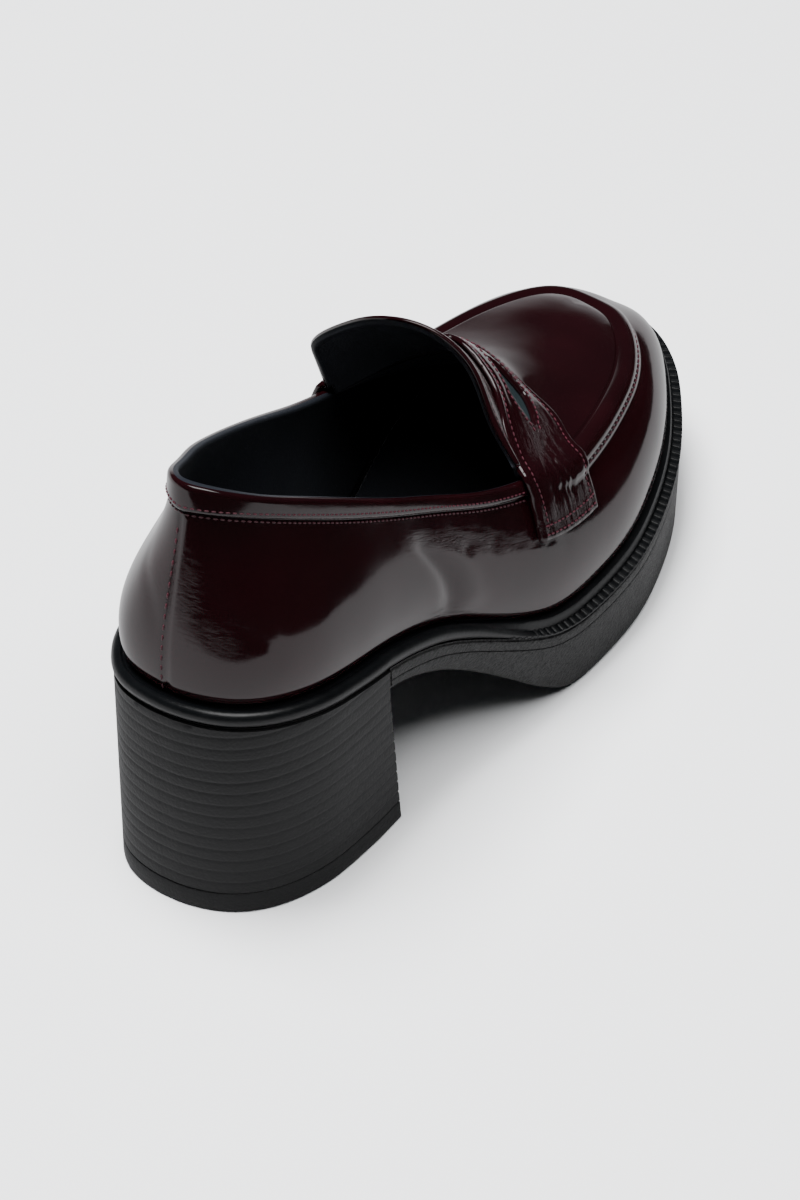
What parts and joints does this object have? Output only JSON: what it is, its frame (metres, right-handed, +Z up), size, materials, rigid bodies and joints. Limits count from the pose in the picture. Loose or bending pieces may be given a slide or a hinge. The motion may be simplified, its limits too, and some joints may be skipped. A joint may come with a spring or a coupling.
{
  "type": "loafer pump",
  "caption": "Right loafer pump with a stacked block heel, a platform forefoot, a ribbed welt, a penny saddle strap and a tall tongue.",
  "frame": {"origin": "centre of the footprint box, on the floor", "axes": "+X towards the toe, +Y towards the inner side of the right foot, +Z up"},
  "size_m": [0.2458, 0.0944, 0.1308],
  "materials": {
    "patent_leather": "crinkled patent, dark burgundy",
    "lining": "smooth black lining",
    "welt_rubber": "satin black",
    "sole_rubber": "fine texture, black",
    "heel_rubber": "stacked layers, satin black"
  },
  "bodies": {
    "root": {"upper": "patent_leather", "tongue": "patent_leather", "saddle_strap": "patent_leather", "insole": "lining", "welt": "welt_rubber", "outsole": "sole_rubber", "heel_block": "heel_rubber", "top_lift": "heel_rubber"}
  },
  "joints": []
}
